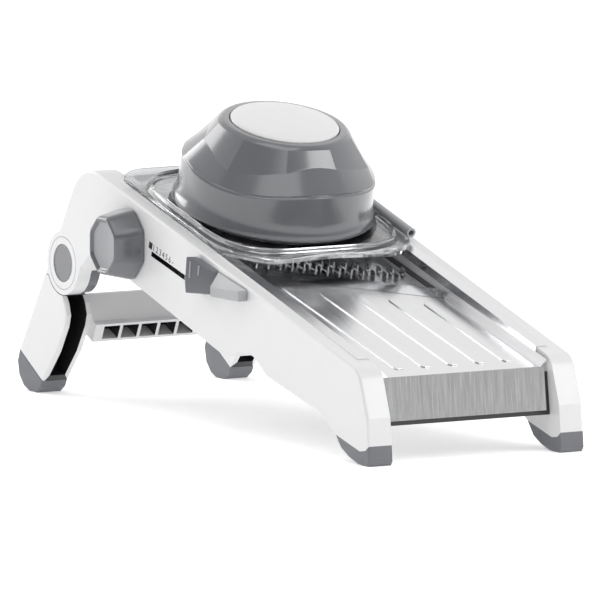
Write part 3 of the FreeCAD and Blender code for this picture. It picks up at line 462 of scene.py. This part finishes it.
def dome_cap():
    """White lid in the middle of the dome, slightly crowned, with a rolled edge."""
    rows = [(32.2, 54.0), (32.3, 56.4), (31.6, 57.2), (30.0, 57.7), (22.0, 58.4), (12.0, 58.9), (4.0, 59.05)]
    columns = 96
    turns = [2 * math.pi * i / columns for i in range(columns)]
    rings = [[DOME.at(r * math.cos(t), r * math.sin(t), h) for t in turns] for r, h in rows]
    points, faces = lofted(rings, close_start=True, close_end=True)
    piece("dome_lid", points, faces, "dome", "white_plastic", ["dome_cap"], sharp=40)


# ------------------------------------------------------------------ knob
KNOB_SIDES = (15.6, 16.4, 17.1, 16.4)   # half-widths of the face: across, slanting, up, slanting


def octagon(turn, crispness=26):
    """Radius of the knob's face, an octagon with softened corners."""
    total = 0.0
    for i in range(8):
        toward = math.cos(turn - math.radians(45 * i)) / KNOB_SIDES[i % 4]
        total += max(0.0, toward) ** crispness
    return total ** (-1 / crispness)


def knob():
    """Adjusting knob: eight-sided tapering body with a dished face inside a raised rim."""
    base = KNOB.span("adjusting_knob", KNOB.z)[0]
    top = KNOB.span("knob_face", KNOB.z)[1]
    columns = 160
    rows = [(1.19, base), (1.21, base + 0.6), (1.2, base + 3.0), (1.03, top - 2.6), (1.0, top - 1.2),
            (0.96, top - 0.3), (0.92, top - 0.05), (0.87, top - 0.35), (0.83, top - 1.3),
            (0.80, top - 1.7), (0.5, top - 2.2), (0.1, top - 2.4)]
    turns = [2 * math.pi * i / columns for i in range(columns)]
    rings = [[KNOB.at(size * octagon(t) * math.cos(t), size * octagon(t) * math.sin(t), height)
              for t in turns] for size, height in rows]
    points, faces = lofted(rings, close_start=True, close_end=True)
    handle = piece("knob_grip", points, faces, "knob", "grey_plastic", ["adjusting_knob", "knob_face"], 24)
    dish = (KNOB.at(0, 0, top - 1.5) - KNOB.origin).dot(KNOB.z)

    def in_dish(centre, normal):
        return normal.dot(KNOB.z) > 0.9 and (centre - KNOB.origin).dot(KNOB.z) < dish
    paint_faces(handle, "mid_grey_plastic", in_dish)


# ------------------------------------------------------------------ thickness slider and its scale
def slider_grip():
    """Wedge-shaped thumb grip with two ribs on its thumb face."""
    rear = [(0, 0, 81.6), (10.0, 2.0, 81.6), (10.4, 2.0, 88.0), (9.0, 1.5, 103.0), (0, 0, 102.4)]
    front = [(0, 24.5, 82.0), (2.2, 24.4, 82.2), (2.4, 24.4, 87.8), (2.0, 24.0, 93.2), (0, 24.5, 96.3)]
    tip = (2.5, 21.3, 95.5)
    points = [SIDE.at(*p) for p in rear + front + [tip]]
    faces = [(0, 1, 2, 3, 4), (0, 1, 6, 5), (1, 2, 7, 6), (2, 10, 8, 7), (2, 3, 10), (3, 4, 10),
             (4, 9, 10), (10, 9, 8), (5, 6, 7, 8, 9), (0, 4, 9, 5)]
    grip = piece("slider_grip", points, faces, "slider", "dark_grey_plastic", ["thickness_grip"], 18)
    soften(grip, 0.7, 3, 12)
    grip_ribs(Vector(rear[2]), Vector(rear[3]), Vector(tip))


def grip_ribs(low, high, end):
    """Two raised ribs across the thumb face, whose outer edge runs low to high and whose tip is end."""
    along = (end - high).normalized()
    out = (low - high).cross(end - high).normalized()
    out = out if out.x > 0 else -out
    section = [along * 0.7 - out * 0.5, along * 0.45 + out * 0.55, along * -0.45 + out * 0.55,
               along * -0.7 - out * 0.5]
    for number, share in enumerate((0.18, 0.5), start=1):
        foot, head = low.lerp(end, share), high.lerp(end, share)
        foot, head = foot.lerp(head, 0.12), head.lerp(foot, 0.1)
        rings = [[SIDE.at(*(end_point + corner)) for corner in section] for end_point in (foot, head)]
        points, faces = lofted(rings, close_start=True, close_end=True)
        soften(piece(f"grip_rib_{number}", points, faces, "slider", "light_grey_plastic"), 0.2)


def slider_block():
    """Long lower block of the slider with a slanting upper side."""
    rear = [(0, 24.9, 81.6), (6.1, 24.9, 81.6), (6.1, 24.9, 87.6), (0.6, 24.9, 95.6), (0, 24.9, 95.8)]
    front = [(0, 57.9, 82.1), (6.1, 57.9, 82.1), (6.1, 57.9, 88.2), (0.6, 57.9, 88.5), (0, 57.9, 88.5)]
    rings = [[SIDE.at(*p) for p in end] for end in (rear, front)]
    points, faces = lofted(rings, close_start=True, close_end=True)
    block = piece("slider_block", points, faces, "slider", "light_grey_plastic", ["slider_lock_block"], 14)
    soften(block, 0.5, 3, 12)


SLOT_LEVEL = -12.0                      # above the deck
SLOT_START, SLOT_END = 176.0, 248.0     # up the deck
MARK_FIRST, MARK_PITCH = 247.0, 3.9
MARK_LEVEL = -9.6
MARK_FONT_SIZE = 5.4
INK = 0.02


def scale_marks():
    """Thickness scale printed above the slider's slot: a square, six figures and a dash."""
    face = DECK.span("left_rail_shell", ACROSS)[0]
    for place, mark in enumerate(["\u25a0", "1", "2", "3", "4", "5", "6", "-"]):
        curve = bpy.data.curves.new(f"mark_{place}", "FONT")
        curve.body = mark
        curve.size = MARK_FONT_SIZE * MM
        curve.extrude = INK * MM
        curve.align_x = "CENTER"
        lettering = bpy.data.objects.new(f"mark_{place}", curve)
        mesh = bpy.data.meshes.new_from_object(lettering)
        bpy.data.objects.remove(lettering)
        mesh.transform(Matrix((-DECK.y, DECK.z, -ACROSS)).transposed().to_4x4())
        up_deck_place = MARK_FIRST - MARK_PITCH * place
        mesh.transform(Matrix.Translation(DECK.at(face - 2 * INK, up_deck_place, MARK_LEVEL)))
        mesh.materials.clear()
        mesh.materials.append(FINISHES["black_plastic"])
        printed = bpy.data.objects.new(f"scale_mark_{place}", mesh)
        bpy.context.scene.collection.objects.link(printed)
        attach(printed, "base")


def paint_slot_shade():
    """Painted shade: black on the walls inside the slider's slot, where shade falls."""
    shell = frame["nodes"]["left_rail_shell"]

    def in_slot_shade(centre, normal):
        from_deck = centre - DECK.origin
        along, above = from_deck.dot(DECK.y) / MM, from_deck.dot(DECK.z) / MM
        return SLOT_START < along < SLOT_END and abs(above - SLOT_LEVEL) < 2.0 and abs(normal.x) < 0.5
    # painted shade: the black on the slot's walls stands for the shade inside it
    paint_faces(shell, "black_plastic", in_slot_shade)


# ------------------------------------------------------------------ carriage
def carriage():
    """Clear sliding holder: one moulding with a turned-up edge, a rounded ridge and a black ring on the
    seat, a painted shadow and reflection of the dome's rim.
    """
    half, rear, nose, cheek, front = 64.9, 80.1, 45.0, -54.8, -76.7
    outline = rounded_outline([(half, rear, 24.0), (-half, rear, 24.0), (-half, cheek, 9.0),
                               (-nose, front, 9.0), (0.0, front + 4.5, 26.0), (nose, front, 9.0),
                               (half, cheek, 9.0)])
    turns = [math.atan2(p.y, p.x) for p in outline]
    edge = [p.length for p in outline]
    bore, shade_ring_start, shade_ring_end, thick = 47.9, 52.0, 62.0, 2.0
    ridge_half, ridge_long, power = 61.7, 66.9, 4.0

    def ridge(t):
        """Radius of the ridge, a rounded square."""
        across, along = abs(math.cos(t)) / ridge_half, abs(math.sin(t)) / ridge_long
        return (across ** power + along ** power) ** (-1 / power)

    def turned_up(p):
        """How far the edge is turned up: most at the wavy front, little at the sides."""
        share = min(1.0, max(0.0, (-p.y - 50.0) / 22.0))
        return share * (2.2 + 0.5 * math.cos(p.x / 9.0))

    def ring(radii, heights):
        return [TRACK.at(r * math.cos(t), r * math.sin(t), h) for t, r, h in zip(turns, radii, heights)]

    level = [thick] * len(turns)
    ridges = [ridge(t) for t in turns]
    lips = [turned_up(p) for p in outline]
    rings = [ring([bore] * len(turns), [0.0] * len(turns)), ring([bore] * len(turns), level)]
    rings.append(ring([shade_ring_start] * len(turns), level))
    rings.append(ring([min(shade_ring_end, r - 3.0) for r in ridges], level))
    rings.append(ring([r - 2.9 for r in ridges], level))
    for inward, height in ((2.4, 3.0), (2.1, 5.4), (1.2, 6.2), (0.3, 5.6), (-0.4, 3.0)):
        rings.append(ring([r - inward for r in ridges], [height] * len(turns)))
    rings.append(ring([min(r + 1.4, e - 2.2) for r, e in zip(ridges, edge)], level))
    rings.append(ring([e - 2.2 for e in edge], [thick + lip * 0.2 for lip in lips]))
    rings.append(ring([e - 1.5 for e in edge], [thick + 0.05 + lip for lip in lips]))
    rings.append(ring([e - 0.5 for e in edge], [thick + lip for lip in lips]))
    rings.append(ring(edge, [1.4 + lip for lip in lips]))
    rings.append(ring([e - 0.1 for e in edge], [0.3 + lip * 0.4 for lip in lips]))
    rings.append(ring([e - 2.5 for e in edge], [0.0] * len(turns)))
    rings.append(rings[0])
    points, faces = lofted(rings)
    holder = piece("clear_holder", points, faces, "carriage", "clear_plastic",
                   ["carriage_plate", "carriage_rim", "carriage_lip"], 40)
    # painted shadow and reflection: a black ring on the plate under the dome's rim
    shade_ring_level = TRACK.origin.dot(TRACK.z) + (thick + 0.1) * MM

    def in_rim_shade_ring(centre, normal):
        flat = normal.dot(TRACK.z) > 0.99 and abs(centre.dot(TRACK.z) - shade_ring_level) < 0.3 * MM
        from_axis = centre - TRACK.origin
        x, y = from_axis.dot(TRACK.x) / MM, from_axis.dot(TRACK.y) / MM
        return flat and 50.0 < math.hypot(x, y) < shade_ring_end
    paint_faces(holder, "black_plastic", in_rim_shade_ring)


# ------------------------------------------------------------------ floor, light and camera
def studio_world():
    """Soft surroundings, dim in front of the slicer and bright behind it."""
    world = bpy.data.worlds.new("studio")
    world.use_nodes = True
    nodes, links = world.node_tree.nodes, world.node_tree.links
    where = nodes.new("ShaderNodeTexCoord")
    facing = nodes.new("ShaderNodeVectorMath")
    facing.operation = "DOT_PRODUCT"
    facing.inputs[1].default_value = (0.48, 0.84, 0.25)
    level = nodes.new("ShaderNodeMapRange")
    level.interpolation_type = "SMOOTHSTEP"
    level.inputs["From Min"].default_value = -1.0
    level.inputs["To Min"].default_value = 0.22
    level.inputs["To Max"].default_value = 1.0
    links.new(where.outputs["Generated"], facing.inputs[0])
    links.new(facing.outputs["Value"], level.inputs["Value"])
    links.new(level.outputs["Result"], nodes["Background"].inputs["Strength"])
    nodes["Background"].inputs["Color"].default_value = (1, 1, 1, 1)
    bpy.context.scene.world = world


def softbox(name, place, size, power):
    """Large square lamp aimed at the middle of the slicer; place is in metres from there."""
    centre = sum(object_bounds(), Vector()) / 2
    light = bpy.data.lights.new(name, "AREA")
    light.size = size
    light.energy = power
    lamp = bpy.data.objects.new(name, light)
    lamp.location = centre + Vector(place)
    lamp.rotation_euler = (centre - lamp.location).to_track_quat("-Z", "Y").to_euler()
    bpy.context.scene.collection.objects.link(lamp)


def floor():
    half = 40.0
    mesh = bpy.data.meshes.new("floor")
    mesh.from_pydata([(-half, -half, 0), (half, -half, 0), (half, half, 0), (-half, half, 0)], [],
                     [(0, 1, 2, 3)])
    ground = bpy.data.objects.new("floor", mesh)
    bpy.context.scene.collection.objects.link(ground)
    material, shader = principled("studio_floor")
    shader.inputs["Roughness"].default_value = 0.9
    shader.inputs["Specular IOR Level"].default_value = 0.0
    shader.inputs["Emission Color"].default_value = (1, 1, 1, 1)
    shader.inputs["Emission Strength"].default_value = 0.42
    tone = shade(material, noise(material, 3.0), (0.90, 0.90, 0.90), (0.92, 0.92, 0.92))
    material.node_tree.links.new(tone, shader.inputs["Base Color"])
    mesh.materials.append(material)
    ground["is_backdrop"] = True


def studio():
    floor()
    studio_world()
    softbox("left", (-0.55, 1.4, 0.7), 0.9, 9.0)
    softbox("top", (-0.3, -0.8, 1.5), 1.3, 8.0)
    softbox("right", (0.75, -1.3, 0.75), 0.6, 5.5)


CAMERA_AZIMUTH = -29.9
CAMERA_ELEVATION = 7.1
CAMERA_AIM = Vector((0.0068, -0.0064, -0.0200))   # from the middle of the slicer, in metres
VIEW_WIDTH = 0.353
LENS = 1600.0


def camera():
    """Long lens from the front left, just above the deck."""
    turn, lift = math.radians(CAMERA_AZIMUTH), math.radians(CAMERA_ELEVATION)
    back = Vector((math.sin(turn) * math.cos(lift), -math.cos(turn) * math.cos(lift), math.sin(lift)))
    aim = sum(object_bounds(), Vector()) / 2 + CAMERA_AIM
    data = bpy.data.cameras.new("camera")
    data.lens = LENS
    distance = VIEW_WIDTH * LENS / data.sensor_width
    data.clip_start, data.clip_end = 1.0, 100.0
    thing = bpy.data.objects.new("camera", data)
    thing.location = aim + back * distance
    thing.rotation_mode = "QUATERNION"
    thing.rotation_quaternion = back.to_track_quat("Z", "Y")
    bpy.context.scene.collection.objects.link(thing)
    bpy.context.scene.camera = thing


finish_nodes()
paint_stand()
dome_shell()
dome_cap()
knob()
slider_grip()
slider_block()
scale_marks()
paint_slot_shade()
carriage()
studio()
camera()
bpy.context.scene.view_settings.view_transform = "Standard"
